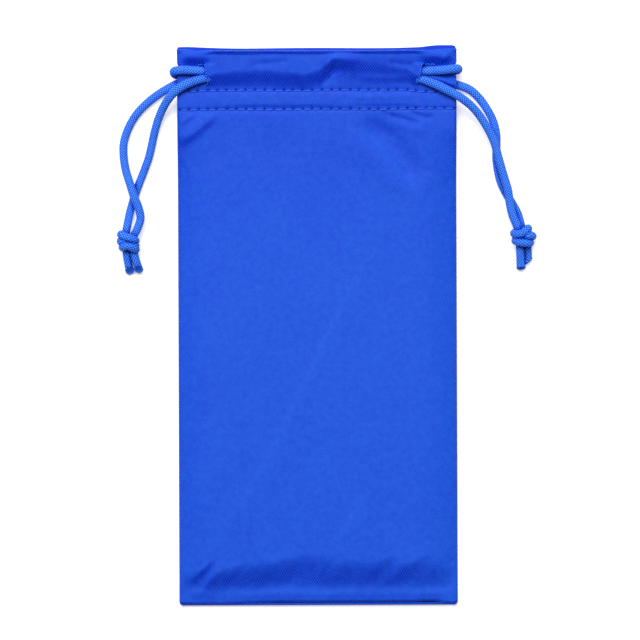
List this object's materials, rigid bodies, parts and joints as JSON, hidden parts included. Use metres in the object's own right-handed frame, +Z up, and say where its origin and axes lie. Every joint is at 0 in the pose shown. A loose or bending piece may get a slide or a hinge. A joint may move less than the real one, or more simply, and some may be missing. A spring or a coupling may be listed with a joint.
{
  "type": "drawstring eyeglass pouch",
  "caption": "Flat microfibre pouch for eyeglasses, open at one end, with hemmed channels and cords that close the mouth from both sides.",
  "frame": {"origin": "middle of the underside, on the surface that the pouch lies on", "axes": "+X across the width to the right cord, +Y along the length towards the mouth, +Z up off the surface"},
  "size_m": [0.1346, 0.18, 0.011],
  "materials": {
    "cloth": "smooth royal blue microfibre with a fine diagonal weave and a soft sheen",
    "seam": "overlocked raw edges of the same microfibre",
    "cord": "round braided polyester cord, brighter blue than the cloth"
  },
  "bodies": {
    "pouch": {"front_cloth": "cloth", "back_cloth": "cloth", "left_side_seam": "seam", "right_side_seam": "seam", "bottom_seam": "seam", "left_cord_front_run": "cord", "right_cord_front_run": "cord", "left_cord_back_run": "cord", "right_cord_back_run": "cord"},
    "left_corner": {"right_cord_turn": "cord"},
    "right_corner": {"left_cord_turn": "cord"},
    "left_pull": {"left_cord_front_tail": "cord", "left_cord_back_tail": "cord", "left_knot": "cord", "left_cord_front_end": "cord", "left_cord_back_end": "cord"},
    "right_pull": {"right_cord_front_tail": "cord", "right_cord_back_tail": "cord", "right_knot": "cord", "right_cord_front_end": "cord", "right_cord_back_end": "cord"}
  },
  "joints": [
    {"name": "left_pull_slide", "type": "slide", "parent": "left_corner", "child": "left_pull", "axis": [-1, 0, 0], "range_m": [0, 0.05], "deforming": ["front_cloth", "back_cloth", "left_side_seam", "right_side_seam", "left_cord_front_run", "right_cord_front_run", "left_cord_back_run", "right_cord_back_run"]},
    {"name": "left_corner_slide", "type": "slide", "parent": "pouch", "child": "left_corner", "axis": [1, 0, 0], "range_m": [0, 0.025]},
    {"name": "right_corner_slide", "type": "slide", "parent": "pouch", "child": "right_corner", "axis": [-1, 0, 0], "range_m": [0, 0.025]},
    {"name": "right_pull_slide", "type": "slide", "parent": "right_corner", "child": "right_pull", "axis": [1, 0, 0], "range_m": [0, 0.05]}
  ],
  "couplings": [
    {"joint": "left_corner_slide", "follows": "left_pull_slide", "ratio": 0.5},
    {"joint": "right_corner_slide", "follows": "left_pull_slide", "ratio": 0.5},
    {"joint": "right_pull_slide", "follows": "left_pull_slide", "ratio": 1}
  ]
}
